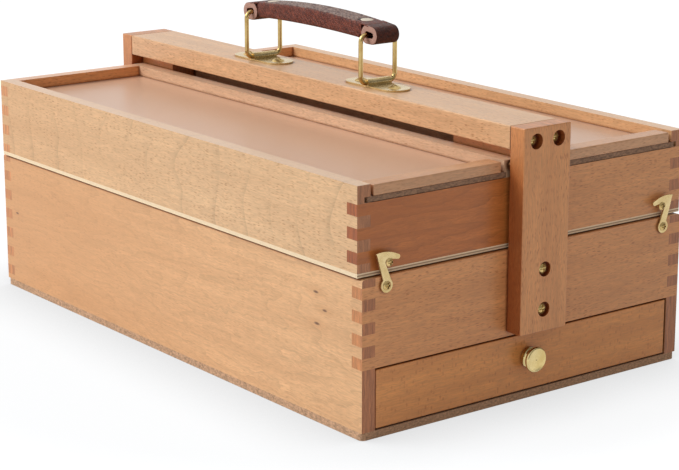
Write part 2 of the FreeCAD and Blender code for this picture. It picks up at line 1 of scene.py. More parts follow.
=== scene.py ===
"""Looks of the watercolour paint drawer box: camera, light, wood, brass and the leather grip.

Everything is in metres in the shared frame: +X across the box, +Y towards its back, +Z up.
Inside a material the surface point is in millimetres, and what multiplies it is in cells per millimetre.
"""
import math

import bmesh
import bpy
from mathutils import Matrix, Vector


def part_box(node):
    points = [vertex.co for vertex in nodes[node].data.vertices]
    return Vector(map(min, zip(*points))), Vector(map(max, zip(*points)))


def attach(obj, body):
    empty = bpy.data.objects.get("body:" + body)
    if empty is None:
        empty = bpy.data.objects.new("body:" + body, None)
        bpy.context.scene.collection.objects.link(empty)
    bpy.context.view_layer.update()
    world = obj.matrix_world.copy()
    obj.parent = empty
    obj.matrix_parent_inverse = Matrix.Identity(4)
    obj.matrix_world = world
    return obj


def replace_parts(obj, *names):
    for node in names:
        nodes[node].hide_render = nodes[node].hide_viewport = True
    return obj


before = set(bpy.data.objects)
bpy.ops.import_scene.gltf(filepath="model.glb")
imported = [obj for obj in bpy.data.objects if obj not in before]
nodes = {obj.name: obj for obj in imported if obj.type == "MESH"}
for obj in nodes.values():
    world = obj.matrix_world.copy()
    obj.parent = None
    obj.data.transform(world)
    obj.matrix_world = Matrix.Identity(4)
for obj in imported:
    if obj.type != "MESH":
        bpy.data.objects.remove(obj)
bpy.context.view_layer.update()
MM = 0.001

# ---------------------------------------------------------------- camera
CAMERA_PLACE = Vector((-0.8645, -1.1525, 0.4381))
CAMERA_YAW = 0.6525             # turned from +Y towards +X, in radians
CAMERA_PITCH = 0.2551           # looking down, in radians
PHOTO_WIDTH = 679               # pixels
FOCAL_PIXELS = 2076.5           # focal length in photo pixels
SENSOR = 36.0                   # width of the camera's sensor, in millimetres
NEAREST = 0.05                  # the camera sees from this distance
FARTHEST = 50.0                 # to this one


def make_camera():
    """Camera at the photo's place and angle, without shift."""
    data = bpy.data.cameras.new("camera")
    data.sensor_width = SENSOR
    data.lens = FOCAL_PIXELS / PHOTO_WIDTH * SENSOR
    data.clip_start = NEAREST
    data.clip_end = FARTHEST
    camera = bpy.data.objects.new("camera", data)
    camera.location = CAMERA_PLACE
    camera.rotation_euler = (math.pi / 2 - CAMERA_PITCH, 0, -CAMERA_YAW)
    bpy.context.scene.collection.objects.link(camera)
    bpy.context.scene.camera = camera


# ---------------------------------------------------------------- shader helper
OPENNESS_SAMPLES = 6


class Graph:
    """Adds nodes to one node tree and links them."""

    def __init__(self, tree):
        self.tree = tree
        tree.nodes.clear()

    def add(self, kind, **settings):
        node = self.tree.nodes.new(kind)
        for key, value in settings.items():
            setattr(node, key, value)
        return node

    def feed(self, socket, value):
        """Links a socket to the input, or sets the input to a plain value."""
        if isinstance(value, bpy.types.NodeSocket):
            self.tree.links.new(value, socket)
        elif value is not None:
            socket.default_value = value

    def math(self, operation, a, b=None, c=None, clamp=False):
        node = self.add("ShaderNodeMath", operation=operation, use_clamp=clamp)
        for socket, value in zip(node.inputs, (a, b, c)):
            self.feed(socket, value)
        return node.outputs[0]

    def times(self, product, *others):
        """The product of two or more values."""
        for value in others:
            product = self.math("MULTIPLY", product, value)
        return product

    def vector(self, operation, a, b=None):
        node = self.add("ShaderNodeVectorMath", operation=operation)
        self.feed(node.inputs[0], a)
        self.feed(node.inputs[1], b)
        return node.outputs["Value" if operation in ("DOT_PRODUCT", "LENGTH") else "Vector"]

    def split(self, vector):
        node = self.add("ShaderNodeSeparateXYZ")
        self.feed(node.inputs[0], vector)
        return list(node.outputs)

    def join(self, x, y, z):
        node = self.add("ShaderNodeCombineXYZ")
        for socket, value in zip(node.inputs, (x, y, z)):
            self.feed(socket, value)
        return node.outputs[0]

    def noise(self, vector, detail=2.0, roughness=0.5, distortion=0.0):
        """Cloudy noise from 0 to 1, one cloud for each unit of the vector."""
        node = self.add("ShaderNodeTexNoise")
        self.feed(node.inputs["Vector"], vector)
        node.inputs["Scale"].default_value = 1.0
        node.inputs["Detail"].default_value = detail
        node.inputs["Roughness"].default_value = roughness
        node.inputs["Distortion"].default_value = distortion
        return node.outputs["Fac"]

    def cells(self, vector, feature="F1"):
        """Distance in a pattern of cells, and each cell's own colour where the feature has one."""
        node = self.add("ShaderNodeTexVoronoi", feature=feature)
        self.feed(node.inputs["Vector"], vector)
        node.inputs["Scale"].default_value = 1.0
        return node.outputs["Distance"], node.outputs.get("Color")

    def remap(self, value, low, high, to_low=0.0, to_high=1.0, smooth=False):
        """The value with low to high stretched to to_low to to_high, and held there beyond them."""
        kind = "SMOOTHSTEP" if smooth else "LINEAR"
        node = self.add("ShaderNodeMapRange", interpolation_type=kind)
        for socket, amount in zip(node.inputs[:5], (value, low, high, to_low, to_high)):
            self.feed(socket, amount)
        return node.outputs[0]

    def mix(self, factor, a, b, blend="MIX"):
        node = self.add("ShaderNodeMix", data_type="RGBA", blend_type=blend)
        for socket, value in zip((node.inputs[0], node.inputs[6], node.inputs[7]), (factor, a, b)):
            self.feed(socket, value)
        return node.outputs[2]

    def toned(self, colour, tone):
        """The colour with its brightness times a tone that varies over the surface."""
        return self.mix(1.0, colour, self.join(tone, tone, tone), "MULTIPLY")

    def bump(self, height, distance, strength):
        node = self.add("ShaderNodeBump")
        self.feed(node.inputs["Height"], height)
        node.inputs["Distance"].default_value = distance
        node.inputs["Strength"].default_value = strength
        return node.outputs[0]

    def openness(self, distance):
        """1 in the open, about a half in a corner and 0 deep in a recess or gap."""
        shade = self.add("ShaderNodeAmbientOcclusion", samples=OPENNESS_SAMPLES)
        shade.inputs["Distance"].default_value = distance
        return shade.outputs["AO"]

    def facing(self, normal, axis):
        """1 on faces that look along the axis, either way, and 0 on the others."""
        return self.remap(self.math("ABSOLUTE", self.split(normal)[axis]), 0.6, 0.8)

    def upward(self, normal, strength=1.0):
        """The strength on faces that look up, and 0 on the others."""
        return self.remap(self.split(normal)[2], 0.7, 0.9, 0.0, strength)


def srgb(red, green, blue):
    """Linear colour with alpha from the 0 to 255 values of a screen."""
    def linear(value):
        share = value / 255
        return share / 12.92 if share <= 0.04045 else ((share + 0.055) / 1.055) ** 2.4
    return (linear(red), linear(green), linear(blue), 1.0)


def tinted(colour, red, green, blue):
    """The colour with each of its channels times a share."""
    return (colour[0] * red, colour[1] * green, colour[2] * blue, 1.0)


def shaded(colour, share):
    """The colour with its brightness times share."""
    return tinted(colour, share, share, share)


def new_surface(name):
    """A material, its graph and its Principled shader."""
    material = bpy.data.materials.new(name)
    material.use_nodes = True
    graph = Graph(material.node_tree)
    output = graph.add("ShaderNodeOutputMaterial")
    shader = graph.add("ShaderNodeBsdfPrincipled")
    graph.feed(output.inputs["Surface"], shader.outputs[0])
    return material, graph, shader


def millimetres(graph):
    """The surface point in the piece's own frame, in millimetres, and its normal."""
    place = graph.add("ShaderNodeTexCoord")
    point = graph.add("ShaderNodeVectorMath", operation="SCALE")
    graph.feed(point.inputs[0], place.outputs["Object"])
    point.inputs["Scale"].default_value = 1 / MM
    return point.outputs[0], place.outputs["Normal"]


# ---------------------------------------------------------------- wood
GRAIN_ORDER = {"X": (0, 1, 2), "Y": (1, 0, 2), "Z": (2, 0, 1)}   # axes along, across and deep in the grain
SEED_STEP = 137.0               # moves the next board to wood of its own
RIPPLE = 3.0                    # fine waves in the grain, in millimetres
RINGS_IN_WANDER = 15.0          # growth-ring lines over the whole range of the slow noise
BOW_PITCH = 34.0                # rings that bow across the grain: their distance, in millimetres
BOW_HEIGHT = 124.0              # height of the bows' tips
BOW_SPREAD = 62.0               # the bows fall back by one pitch this far above and below their tips
KNOT_SHARE = 0.34               # a knot's width against its length
SATIN = 0.36                    # roughness of the varnish
CREASE_SHADE_REACH = 0.0022           # painted shade in seams, creases and gaps spreads over this distance
CORNER_SHADE_REACH = 0.05             # painted shade on faces beside a wall spreads over this distance
PLY_BLUR = 0.1                  # softness of the line between two plies, in millimetres


class Grain:
    """The surface point along, across and deep in one board's grain, in millimetres."""

    def __init__(self, graph, point, axis, seed):
        parts = graph.split(point)
        along, across, deep = [parts[i] for i in GRAIN_ORDER[axis]]
        self.graph = graph
        self.shift = seed * SEED_STEP
        ripple = graph.noise(graph.join(graph.math("MULTIPLY_ADD", along, 1 / 11, self.shift),
                                        graph.math("MULTIPLY", across, 1 / 8),
                                        graph.math("MULTIPLY", deep, 1 / 8)), 1, 0.5)
        self.along = along
        self.across = graph.math("MULTIPLY_ADD", ripple, RIPPLE, across)
        self.deep = graph.math("MULTIPLY_ADD", ripple, RIPPLE, deep)

    def stretched(self, length, width, offset=0.0):
        """The point counted in cells of this length along the grain and this width across it."""
        graph = self.graph
        return graph.join(graph.math("MULTIPLY_ADD", self.along, 1 / length, self.shift + offset),
                          graph.math("MULTIPLY_ADD", self.across, 1 / width, self.shift + offset),
                          graph.math("MULTIPLY_ADD", self.deep, 1 / width, offset))


def ring_lines(graph, grain):
    """Thin growth-ring lines that wander along the grain."""
    wander = graph.noise(grain.stretched(260, 46, 1.3), 2.0, 0.55, 0.2)
    return graph.math("POWER", graph.math("FRACT", graph.times(wander, RINGS_IN_WANDER)), 4.0)


def ring_bows(graph, grain):
    """Growth rings that bow across a flat-sawn board's grain, clear in places and faint in others."""
    sway = graph.noise(grain.stretched(120, 55, 5.9), 1.0, 0.5)
    from_tips = graph.math("MULTIPLY_ADD", grain.deep, 1 / BOW_SPREAD, -BOW_HEIGHT / BOW_SPREAD)
    belly = graph.math("POWER", graph.math("ABSOLUTE", from_tips), 2.0)
    count = graph.math("MULTIPLY_ADD", grain.along, 1 / BOW_PITCH,
                       graph.math("MULTIPLY_ADD", sway, 1.6, belly))
    bows = graph.math("POWER", graph.math("SUBTRACT", 1.0, graph.math("FRACT", count)), 9.0)
    return graph.times(bows, graph.remap(graph.noise(grain.stretched(48, 90, 4.4), 1, 0.5), 0.40, 0.64))


def ray_dashes(graph, grain, dash_size):
    """The short dark dashes of beech, crowded in some places and sparse in others."""
    distance, cell_colour = graph.cells(grain.stretched(dash_size[0], dash_size[1], 2.2))
    chosen = graph.remap(graph.split(cell_colour)[0], 0.15, 0.75)
    crowd = graph.remap(graph.noise(grain.stretched(40, 20, 9.2), 2, 0.5), 0.25, 0.65, 0.35, 1.15)
    return graph.times(graph.remap(distance, 0.46, 0.16, smooth=True), chosen, crowd)


def knotted(graph, face, point, axis, colour, knots):
    """The face with small dark knots drawn out along the grain, each in a soft halo."""
    squeeze = [KNOT_SHARE if i == GRAIN_ORDER[axis][0] else 1.0 for i in range(3)]
    for place, radius in knots:
        away = graph.vector("MULTIPLY", graph.vector("SUBTRACT", point, place), squeeze)
        reach = graph.vector("LENGTH", away)
        halo = graph.remap(reach, radius * 4.5, radius, 0.0, 0.28, smooth=True)
        spot = graph.remap(reach, radius, radius * 0.3, 0.0, 0.85, smooth=True)
        face = graph.mix(halo, face, tinted(colour, 0.78, 0.62, 0.50))
        face = graph.mix(spot, face, srgb(92, 56, 34))
    return face


def end_grain(graph, grain, colour):
    """Porous wood cut across its grain, with the year's layers."""
    pores = graph.noise(graph.join(graph.times(grain.along, 0.4), graph.times(grain.across, 1.6),
                                   graph.times(grain.deep, 1.6)), 3, 0.7)
    layers = graph.noise(graph.join(0.0, graph.math("MULTIPLY_ADD", grain.across, 0.6, grain.shift),
                                    graph.times(grain.deep, 0.05)), 3, 0.65)
    tone = graph.times(graph.math("MULTIPLY_ADD", pores, 0.5, 0.75),
                       graph.remap(layers, 0.3, 0.7, 0.62, 1.3))
    return graph.toned(colour, tone)


def paint_crease_shade(graph, finish, colour):
    """The finish with painted shade: warm in its creases and near black in its gaps."""
    air = graph.openness(CREASE_SHADE_REACH)
    warm = graph.mix(1.0, finish, (0.50, 0.36, 0.28, 1.0), "MULTIPLY")
    finish = graph.mix(graph.remap(air, 0.64, 0.93, smooth=True), warm, finish)
    return graph.mix(graph.remap(air, 0.0, 0.36, smooth=True), tinted(colour, 0.24, 0.14, 0.10), finish)


def beech(name, axis, colour, seed, fleck, figure, arcs=0.0, streak=1.0, dash_size=(5.2, 0.85),
          cut=(0.70, 0.56, 0.50), knots=(), blush=None, corner=0.0, top_sheen=0.0):
    """Satin-varnished beech with its grain along one axis, and end grain where it is cut across.

    fleck is the strength of the short dark dashes, figure that of the growth-ring lines,
    arcs that of ring lines across the grain, streak that of the long soft bands.
    dash_size is a dash's length and width. cut is the end grain's colour as a share of the face's.
    knots are the places and radii of small dark spots, in millimetres.
    blush is where along the grain an orange colour starts and is full, and its strength.
    corner is the strength of the painted shade, dark and warm, on faces that stand beside a wall, rim
    that of the painted sheen, a pinkish white, on faces that look up.
    """
    material, graph, shader = new_surface(name)
    point, normal = millimetres(graph)
    grain = Grain(graph, point, axis, seed)
    bands = graph.remap(graph.noise(grain.stretched(150, 11), 3, 0.55, 0.4), 0.3, 0.7)
    fibres = graph.remap(graph.noise(grain.stretched(12, 0.9, 3.1), 2, 0.7), 0.30, 0.70)
    blotches = graph.noise(grain.stretched(70, 45, 7.7), 2, 0.5)
    rings = ring_lines(graph, grain)
    dashes = ray_dashes(graph, grain, dash_size)

    tone = graph.times(graph.math("MULTIPLY_ADD", bands, 0.12 * streak, 1.0 - 0.06 * streak),
                       graph.math("MULTIPLY_ADD", fibres, 0.30, 0.85),
                       graph.math("MULTIPLY_ADD", blotches, 0.12, 0.94),
                       graph.math("MULTIPLY_ADD", rings, -0.16 * figure, 1.0 + 0.03 * figure))
    if arcs:
        tone = graph.times(tone, graph.math("MULTIPLY_ADD", ring_bows(graph, grain), -0.25 * arcs, 1.0))
    face = graph.toned(colour, tone)
    reddish = graph.math("MULTIPLY", graph.remap(bands, 0.9, 0.0), 0.30 * streak, clamp=True)
    face = graph.mix(reddish, face, tinted(colour, 0.93, 0.82, 0.74))
    if blush:
        start, full, strength = blush
        orange = graph.remap(grain.along, start, full, 0.0, strength, smooth=True)
        face = graph.mix(orange, face, tinted(colour, 0.84, 0.64, 0.42))
    dashed = graph.math("MULTIPLY", dashes, 0.66 * fleck, clamp=True)
    face = graph.mix(dashed, face, tinted(colour, 0.55, 0.36, 0.24))
    # Painted sheen: faces that look up are paled towards a pinkish white, as a reflection of the bright
    # studio would pale them.
    if top_sheen:
        face = graph.mix(graph.upward(normal, top_sheen), face, srgb(240, 212, 190))
    face = knotted(graph, face, point, axis, colour, knots)

    end_face = end_grain(graph, grain, tinted(colour, *cut))
    finish = graph.mix(graph.facing(normal, GRAIN_ORDER[axis][0]), face, end_face)
    # Painted shade: faces that stand beside a wall turn darker and warmer where little open air reaches
    # them.
    if corner:
        beside = graph.remap(graph.openness(CORNER_SHADE_REACH), 0.95, 0.68, smooth=True)
        corner_shadow = graph.mix(1.0, finish, (0.50, 0.30, 0.18, 1.0), "MULTIPLY")
        finish = graph.mix(graph.times(beside, corner), finish, corner_shadow)
    graph.feed(shader.inputs["Base Color"], paint_crease_shade(graph, finish, colour))
    graph.feed(shader.inputs["Roughness"], graph.math("MULTIPLY_ADD", fibres, 0.08, SATIN - 0.04))
    shader.inputs["Specular IOR Level"].default_value = 0.5
    relief = graph.math("SUBTRACT", graph.times(fibres, 0.6), graph.times(dashes, 0.6))
    graph.feed(shader.inputs["Normal"], graph.bump(relief, 0.06 * MM, 0.5))
    return material


def board(name, face_colour, edge_colour, gloss, speck, plies=None, end_edge_shade=1.0):
    """Thin board: smooth faces above and below, and rough fibres or plies on its edges.

    speck is how strongly the edges' fibres show. plies gives the middle ply's lowest and highest
    height in millimetres. Its wood is dark on the edges across the box's length. end_edge_shade is the
    brightness of those edges against the long ones, a painted shade that also warms them.
    """
    material, graph, shader = new_surface(name)
    point, normal = millimetres(graph)
    broad = graph.noise(graph.vector("MULTIPLY", point, (0.012, 0.006, 0.03)), 2, 0.5, 0.3)
    fine = graph.noise(graph.vector("MULTIPLY", point, (1.1, 0.25, 1.1)), 3, 0.6)
    tone = graph.math("ADD", graph.math("MULTIPLY_ADD", broad, 0.16, 0.90), graph.times(fine, 0.05))
    face = graph.toned(face_colour, tone)
    fuzz = graph.noise(graph.vector("MULTIPLY", point, (0.50, 0.50, 0.90)), 3, 0.7)
    fuzz = graph.remap(fuzz, 0.36, 0.64)
    edge = graph.toned(edge_colour, graph.math("MULTIPLY_ADD", fuzz, speck * 0.5, 1.0 - speck * 0.25))
    on_end = graph.facing(normal, 1)
    # Painted shade: the edges across the box's length turn darker and warmer than the long ones.
    if end_edge_shade != 1.0:
        darker = (end_edge_shade, end_edge_shade * 0.92, end_edge_shade * 0.85, 1.0)
        edge = graph.mix(on_end, edge, graph.mix(1.0, edge, darker, "MULTIPLY"))
    if plies:
        height = graph.split(point)[2]
        above = graph.remap(height, plies[0] - PLY_BLUR, plies[0] + PLY_BLUR)
        below = graph.remap(height, plies[1] + PLY_BLUR, plies[1] - PLY_BLUR)
        edge = graph.mix(graph.times(above, below, on_end, 0.75), edge, srgb(150, 104, 72))
    flat = graph.facing(normal, 2)
    graph.feed(shader.inputs["Base Color"], graph.mix(flat, edge, face))
    graph.feed(shader.inputs["Roughness"], graph.remap(flat, 0.0, 1.0, 0.75, gloss))
    graph.feed(shader.inputs["Normal"], graph.bump(fuzz, 0.12 * MM, 0.35))
    return material


# ---------------------------------------------------------------- metal and leather
HOLLOW_SHADE_REACH = 0.0012           # painted shade in the brass's slots and hollows spreads over this distance
HANDLE_MIDDLE = sum(corner.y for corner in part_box("grip_core")) / 2 / MM   # along the box, in millimetres
CROWN_END = 53.0                # the rubbed top with its painted sheen ends this far from the handle's middle, in millimetres
CROWN_FADE = 2.0
WEAVE = (1.9, 1.55)             # embossed lattice across and along the grip, in radians per millimetre
EMBOSS = 0.8                    # its depth against that of the leather's own grain


def brass(name, bright, dull, smooth, metal=1.0, hollow=(0.0, 0.5)):
    """Lacquered brass with faint wipe marks and a little tarnish, and painted shade in its hollows.

    smooth is the roughness where it shines most. hollow is how open a hollow is where the painted
    shade is darkest and where it ends.
    """
    material, graph, shader = new_surface(name)
    point, _ = millimetres(graph)
    tarnish = graph.noise(graph.vector("MULTIPLY", point, (0.12, 0.12, 0.12)), 3, 0.6)
    wipes = graph.noise(graph.vector("MULTIPLY", point, (0.6, 3.5, 0.9)), 2, 0.6)
    colour = graph.mix(graph.remap(tarnish, 0.35, 0.7), bright, dull)
    # Painted shade: slots and hollows turn towards a dark brass where little open air reaches them.
    open_air = graph.remap(graph.openness(HOLLOW_SHADE_REACH), hollow[0], hollow[1], smooth=True)
    colour = graph.mix(open_air, shaded(dull, 0.20), colour)
    graph.feed(shader.inputs["Base Color"], colour)
    shader.inputs["Metallic"].default_value = metal
    graph.feed(shader.inputs["Roughness"], graph.remap(wipes, 0.3, 0.7, smooth, smooth + 0.1))
    graph.feed(shader.inputs["Normal"], graph.bump(wipes, 0.02 * MM, 0.3))
    return material


def leather(name, colour, raised, gloss, crown=None):
    """Waxed leather: pebbled grain, darker creases and slanting streaks.

    raised is the colour of the rubbed streaks, gloss the roughness. crown is the colour of the
    embossed top between the two windows: rubbed leather, and a painted sheen that makes it lighter.
    """
    material, graph, shader = new_surface(name)
    point, normal = millimetres(graph)
    to_crease, _ = graph.cells(graph.vector("MULTIPLY", point, (0.75, 0.55, 0.75)), "DISTANCE_TO_EDGE")
    pebbles = graph.remap(to_crease, 0.0, 0.22, smooth=True)
    x, y, z = graph.split(point)
    slant = graph.math("ADD", y, graph.times(z, 1.1))
    other = graph.math("SUBTRACT", z, graph.times(y, 0.9))
    streaks = graph.noise(graph.join(graph.times(slant, 0.14), graph.times(other, 0.62),
                                     graph.times(x, 0.5)), 3, 0.65)
    blotch = graph.noise(graph.vector("MULTIPLY", point, (0.15, 0.1, 0.15)), 2, 0.5)
    shade = graph.mix(graph.remap(streaks, 0.40, 0.60), shaded(colour, 0.40), raised)
    shade = graph.mix(graph.remap(blotch, 0.3, 0.7, 0.0, 0.6), shade, colour)
    creases = graph.times(graph.math("SUBTRACT", 1.0, pebbles), 0.5)
    shade = graph.mix(creases, shade, shaded(colour, 0.4))
    height = graph.math("ADD", pebbles, graph.times(streaks, 1.2))
    # The top between the windows: rubbed leather, and a painted sheen that makes it lighter and greyer.
    if crown:
        from_middle = graph.math("ABSOLUTE", graph.math("SUBTRACT", y, HANDLE_MIDDLE))
        between_windows = graph.remap(from_middle, CROWN_END, CROWN_END - CROWN_FADE)
        top = graph.times(graph.upward(normal), between_windows)
        wear_and_sheen = graph.noise(graph.vector("MULTIPLY", point, (0.55, 0.40, 0.55)), 2, 0.6)
        wear_and_sheen = graph.mix(graph.remap(wear_and_sheen, 0.38, 0.60), shaded(colour, 0.5), crown)
        shade = graph.mix(top, shade, wear_and_sheen)
        waves = [graph.math("SINE", graph.times(way, rate)) for way, rate in zip((x, y), WEAVE)]
        height = graph.math("ADD", height, graph.times(waves[0], waves[1], top, EMBOSS))
    graph.feed(shader.inputs["Base Color"], shade)
    graph.feed(shader.inputs["Roughness"], graph.remap(streaks, 0.3, 0.7, gloss - 0.06, gloss + 0.1))
    shader.inputs["Specular IOR Level"].default_value = 0.24
    graph.feed(shader.inputs["Normal"], graph.bump(height, 0.36 * MM, 0.8))
    return material


def raw_leather(name, low, high):
    """Undyed or cut leather, fibrous, between two tones."""
    material, graph, shader = new_surface(name)
    point, _ = millimetres(graph)
    fibres = graph.noise(graph.vector("MULTIPLY", point, (1.5, 2.4, 2.4)), 4, 0.7)
    colour = graph.mix(graph.remap(fibres, 0.3, 0.7), low, high)
    graph.feed(shader.inputs["Base Color"], colour)
    graph.feed(shader.inputs["Roughness"], graph.remap(fibres, 0.3, 0.7, 0.7, 0.9))
    graph.feed(shader.inputs["Normal"], graph.bump(fibres, 0.2 * MM, 0.6))
    return material


# ---------------------------------------------------------------- dressing the CAD nodes
def dress(material, *names):
    """Gives CAD nodes this material alone."""
    for name in names:
        mesh = nodes[name].data
        mesh.materials.clear()
        mesh.materials.append(material)


# Faces of the boards, from pale wood to red heartwood.
CREAMY = srgb(224, 178, 133)
PINKISH = srgb(224, 186, 152)
SUNNY = srgb(225, 184, 138)
PALE = srgb(227, 179, 130)
TAWNY = srgb(212, 160, 118)
ROSY = srgb(221, 153, 97)
ORANGE = srgb(219, 147, 82)
RED_HEART = srgb(190, 113, 54)
DARK_CUT = (0.60, 0.38, 0.30)   # end grain of the pale side walls
SOFT_CUT = (0.84, 0.76, 0.70)   # end grain of the rosy end walls
PALE_CUT = (0.94, 0.89, 0.86)   # end grain of the trays' back ends
# Four small knots on the outer face of the lower left side: place and radius in millimetres.
LEFT_KNOTS = (((-135, 202, 59), 1.0), ((-135, -174, 84), 1.2),
              ((-135, -183, 74), 1.1), ((-135, -175, 64), 1.3))


def dress_wood():
    """Beech for every wall, strip and post, each kind of board cut from wood of its own."""
    dress(beech("beech_lower_left", "Y", PALE, 1, 0.5, 1.0, streak=1.2, cut=DARK_CUT,
                knots=LEFT_KNOTS, blush=(-230, 230, 0.60)), "lower_left_side")
    dress(beech("beech_lower_right", "Y", PALE, 2, 0.8, 0.6, cut=DARK_CUT), "lower_right_side")
    dress(beech("beech_lower_front", "X", ROSY, 3, 1.1, 0.3, cut=SOFT_CUT), "lower_front_end")
    dress(beech("beech_lower_back", "X", ROSY, 4, 1.0, 0.4, cut=SOFT_CUT), "lower_back_end")
    dress(beech("beech_tray_left", "Y", SUNNY, 5, 1.0, 0.15, arcs=1.0, cut=DARK_CUT,
                blush=(-100, 230, 0.35), top_sheen=0.45), "left_tray_outer_side")
    dress(beech("beech_tray_right", "Y", PALE, 6, 1.0, 0.3, cut=DARK_CUT, top_sheen=0.25),
          "right_tray_outer_side")
    dress(beech("beech_tray_inner", "Y", PINKISH, 7, 0.8, 0.3, cut=SOFT_CUT),
          "left_tray_inner_side", "right_tray_inner_side")
    dress(beech("beech_tray_front_left", "X", RED_HEART, 8, 0.35, 1.6, streak=2.4),
          "left_tray_front_end")
    dress(beech("beech_tray_front_right", "X", ROSY, 9, 1.1, 0.5), "right_tray_front_end")
    dress(beech("beech_tray_back", "X", ROSY, 10, 1.0, 0.5, cut=PALE_CUT, top_sheen=0.4),
          "left_tray_back_end", "right_tray_back_end")
    dress(beech("beech_strips", "X", TAWNY, 11, 0.9, 0.2), "left_lid_strip", "right_lid_strip")
    # The uprights carry painted shade on their faces beside the walls.
    dress(beech("beech_uprights", "Z", ROSY, 12, 1.1, 0.2, cut=SOFT_CUT, corner=1.0),
          "front_upright", "back_upright")
    dress(beech("beech_bar", "Y", CREAMY, 13, 1.1, 0.3), "handle_bar")
    dress(beech("beech_blocks", "Y", ROSY, 14, 0.8, 0.3), "front_spacer_block", "back_spacer_block")
    dress(beech("beech_drawer_front", "X", ORANGE, 15, 0.65, 0.3, streak=1.6, dash_size=(2.4, 3.8)),
          "drawer_front")
    dress(beech("beech_drawer_sides", "Y", PALE, 16, 0.8, 0.4), "drawer_left_side", "drawer_right_side")
    dress(beech("beech_drawer_back", "X", PALE, 17, 0.8, 0.4), "drawer_back")


def dress_boards():
    """Thin plywood in the trays and the drawer, hardboard lids and the rough base."""
    tray_low, tray_high = (corner.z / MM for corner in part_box("left_tray_bottom"))
    ply = (tray_high - tray_low) / 3
    ply_face = srgb(222, 192, 156)
    ply_edge = srgb(246, 222, 186)
    dress(board("tray_ply", ply_face, ply_edge, 0.5, 0.16, plies=(tray_low + ply, tray_high - ply)),
          "left_tray_bottom", "right_tray_bottom")
    dress(board("thin_ply", ply_face, ply_edge, 0.5, 0.16), "inner_shelf", "drawer_bottom")
    dress(board("lid_board", srgb(214, 173, 144), srgb(146, 110, 84), 0.30, 1.7),
          "left_lid_panel", "right_lid_panel")
    dress(board("base_board", srgb(156, 118, 90), srgb(190, 152, 120), 0.6, 1.4, end_edge_shade=0.84),
          "base_panel")


def dress_brass():
    """Brass of four brightnesses for the knob, plates, screws and wires, and dark washers."""
    polished = brass("brass_polished", srgb(226, 205, 150), srgb(208, 182, 120), 0.14)
    plated = brass("brass_plate", srgb(222, 198, 146), srgb(200, 172, 116), 0.20, 0.85)
    turned = brass("brass_screw", srgb(226, 196, 132), srgb(204, 172, 106), 0.24, 0.7, (0.25, 0.62))
    tarnished = brass("brass_washer", srgb(120, 84, 54), srgb(88, 58, 38), 0.34)
    drawn = brass("brass_wire", srgb(206, 180, 122), srgb(180, 150, 92), 0.12)
    for name in nodes:
        if name.endswith("_loop"):
            dress(drawn, name)
        elif "plate" in name and "screw" not in name or name.endswith("_hook"):
            dress(plated, name)
        elif "washers" in name:
            dress(tarnished, name)
        elif "screw" in name or "pins" in name:
            dress(turned, name)
        elif "knob" in name:
            dress(polished, name)


# ---------------------------------------------------------------- grip
FOLD_RADIUS = 6.1 * MM          # outside of the strap folded round a wire
FOLD_THICKNESS = 4.3 * MM
FOLD_EDGE = 0.6 * MM            # rounding of the fold's cut edges
FOLD_INSET = 0.15 * MM          # the fold is this much narrower than the strap on each side
FOLD_STEPS = 24                 # sections round each half of a fold
LIP_THICKNESS = 1.1 * MM        # top leather that runs on from the body over the fold
LIP_CORNER = LIP_THICKNESS * 0.45
LIP_PAST_WIRE = 2.0 * MM        # it runs on past the wire
LIP_BEFORE_CORE = 0.1 * MM      # and starts this far beyond the core's end
LIP_DIP = 0.25 * MM             # its tip sinks into the fold
TOP_LIFT = 0.06 * MM            # the wrap stands over the strap's arched top
BODY_CORNER = 1.9 * MM          # rounded long edges of the grip
BODY_BULGE = 0.25 * MM          # padding pushes the sides out in the middle
BULGE_FADE = 6                  # the higher, the closer the bulge keeps to the sides
BODY_STATIONS = 56              # sections along the grip
TUCK_START = 0.96               # share of the half length at which the ends start to be tucked in
TUCK_RISE = 1.8 * MM            # the tucked end is raised below
TUCK_IN = 0.5 * MM              # and drawn in at each side
UNDERSIDE_RISE = 1.5 * MM
WINDOW_INSET = 12.6 * MM        # oval window in the top, from the wire
WINDOW_SIZE = (6.2 * MM, 4.8 * MM)   # half its width across the grip and half its length along it
WINDOW_POINTS = 32
WINDOW_DOME = ((1.0, -0.5), (0.86, 0.55), (0.55, 0.9), (0.2, 1.0))   # shares of its size and its height


def mesh_object(name, points, faces, material):
    """A smooth-shaded mesh in the scene with its faces turned outwards."""
    mesh = bpy.data.meshes.new(name)
    mesh.from_pydata([tuple(p) for p in points], [], faces)
    mesh.materials.append(material)
    mesh.polygons.foreach_set("use_smooth", [True] * len(mesh.polygons))
    tidy = bmesh.new()
    tidy.from_mesh(mesh)
    bmesh.ops.recalc_face_normals(tidy, faces=tidy.faces)
    tidy.to_mesh(mesh)
    tidy.free()
    piece = bpy.data.objects.new(name, mesh)
    bpy.context.scene.collection.objects.link(piece)
    return piece


def loft(name, rings, material, closed=False):
    """Skin over rings of equal length.

    The last ring joins the first if closed is true, and otherwise both ends are capped.
    """
    count = len(rings[0])
    points = [point for ring in rings for point in ring]
    faces = []
    for i in range(len(rings) if closed else len(rings) - 1):
        here = i * count
        there = (i + 1) % len(rings) * count
        for k in range(count):
            step = (k + 1) % count
            faces.append((here + k, here + step, there + step, there + k))
    if not closed:
        faces.append(tuple(range(count - 1, -1, -1)))
        faces.append(tuple(range((len(rings) - 1) * count, len(rings) * count)))
    return mesh_object(name, points, faces, material)


